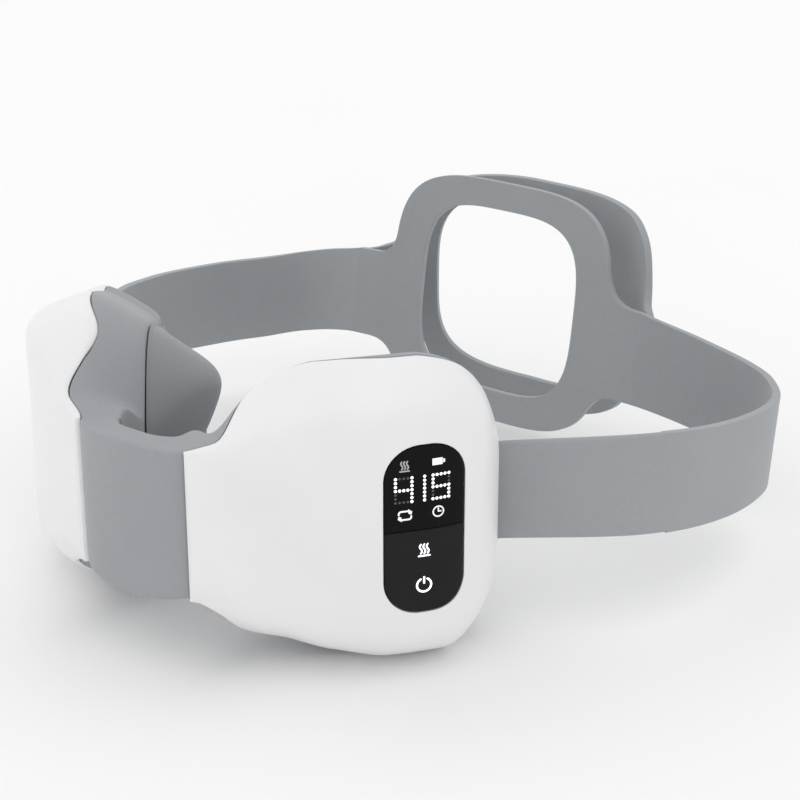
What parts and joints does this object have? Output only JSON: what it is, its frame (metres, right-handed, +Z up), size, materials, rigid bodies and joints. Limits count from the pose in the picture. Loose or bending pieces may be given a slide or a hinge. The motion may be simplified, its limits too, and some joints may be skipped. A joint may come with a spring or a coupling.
{
  "type": "eye massager mask",
  "caption": "Wearable eye massager: two domed eye pods on a flexible bridge, a display window, face cushions, and an elastic strap ending in a two-ply open ring at the back.",
  "frame": {"origin": "on the floor, midway between the bridge's front and the back ring, on the plane between the two pods", "axes": "+Z up; +X towards the display pod (the wearer's left); -Y towards the bridge, +Y towards the back ring"},
  "size_m": [0.2034, 0.1787, 0.0815],
  "materials": {
    "shell": "satin white, lightly glossy",
    "housing": "soft-touch grey",
    "cushion": "soft grey skin over foam",
    "band": "flexible moulded grey, matt",
    "strap": "elastic grey, matt",
    "window": "black window",
    "key": "charcoal key",
    "electronics": "green board",
    "module": "black module",
    "metal": "plain steel",
    "film": "amber heating film",
    "cell": "silver pouch cell"
  },
  "bodies": {
    "band": {"bridge_band": "band", "flex_cable": "film", "strap_front_right": "strap", "strap_front_left": "strap", "strap_rear_right": "strap", "strap_rear_left": "strap"},
    "right_pod": {"shell_right": "shell", "housing_right": "housing", "cushion_right": "cushion", "heat_film_right": "film", "motor_can_right": "metal", "strap_anchor_right": "module", "screw_right_1": "metal", "screw_right_2": "metal", "display_window": "window", "display_module": "module", "main_board": "electronics", "switch_heat": "module", "switch_power": "module", "charging_inlet": "metal"},
    "left_pod": {"shell_left": "shell", "housing_left": "housing", "cushion_left": "cushion", "heat_film_left": "film", "motor_can_left": "metal", "strap_anchor_left": "module", "screw_left_1": "metal", "screw_left_2": "metal", "battery": "cell"},
    "key": {"rocker_key": "key"},
    "rotor_right": {"motor_rotor_right": "metal"},
    "rotor_left": {"motor_rotor_left": "metal"},
    "back_ring": {"ring_inner_ply": "strap", "ring_outer_ply": "strap"}
  },
  "joints": [
    {"name": "right_pod_flex", "type": "hinge", "parent": "band", "child": "right_pod", "pos_m": [0.01379, -0.08169, 0.0385], "axis": [0, 0, 1], "range_deg": [-6, 6], "stiffness_Nm_per_rad": 0.4, "deforming": ["strap_front_right", "flex_cable"]},
    {"name": "left_pod_flex", "type": "hinge", "parent": "band", "child": "left_pod", "pos_m": [-0.01379, -0.08169, 0.0385], "axis": [0, 0, 1], "range_deg": [-6, 6], "stiffness_Nm_per_rad": 0.4, "deforming": ["strap_front_left", "flex_cable"]},
    {"name": "strap_stretch", "type": "slide", "parent": "band", "child": "back_ring", "axis": [0, 1, 0], "range_m": [0, 0.03], "stiffness_N_per_m": 150, "deforming": ["strap_rear_right", "strap_rear_left"]},
    {"name": "key_rock", "type": "hinge", "parent": "right_pod", "child": "key", "pos_m": [0.06278, -0.05269, 0.0282], "axis": [0.6266, 0.7793, 0], "range_deg": [-2, 2], "stiffness_Nm_per_rad": 0.3},
    {"name": "rotor_right_spin", "type": "hinge", "parent": "right_pod", "child": "rotor_right", "pos_m": [0.03213, -0.0541, 0.031], "axis": [0, 0, 1], "continuous": true},
    {"name": "rotor_left_spin", "type": "hinge", "parent": "left_pod", "child": "rotor_left", "pos_m": [-0.03213, -0.0541, 0.031], "axis": [0, 0, 1], "continuous": true}
  ]
}
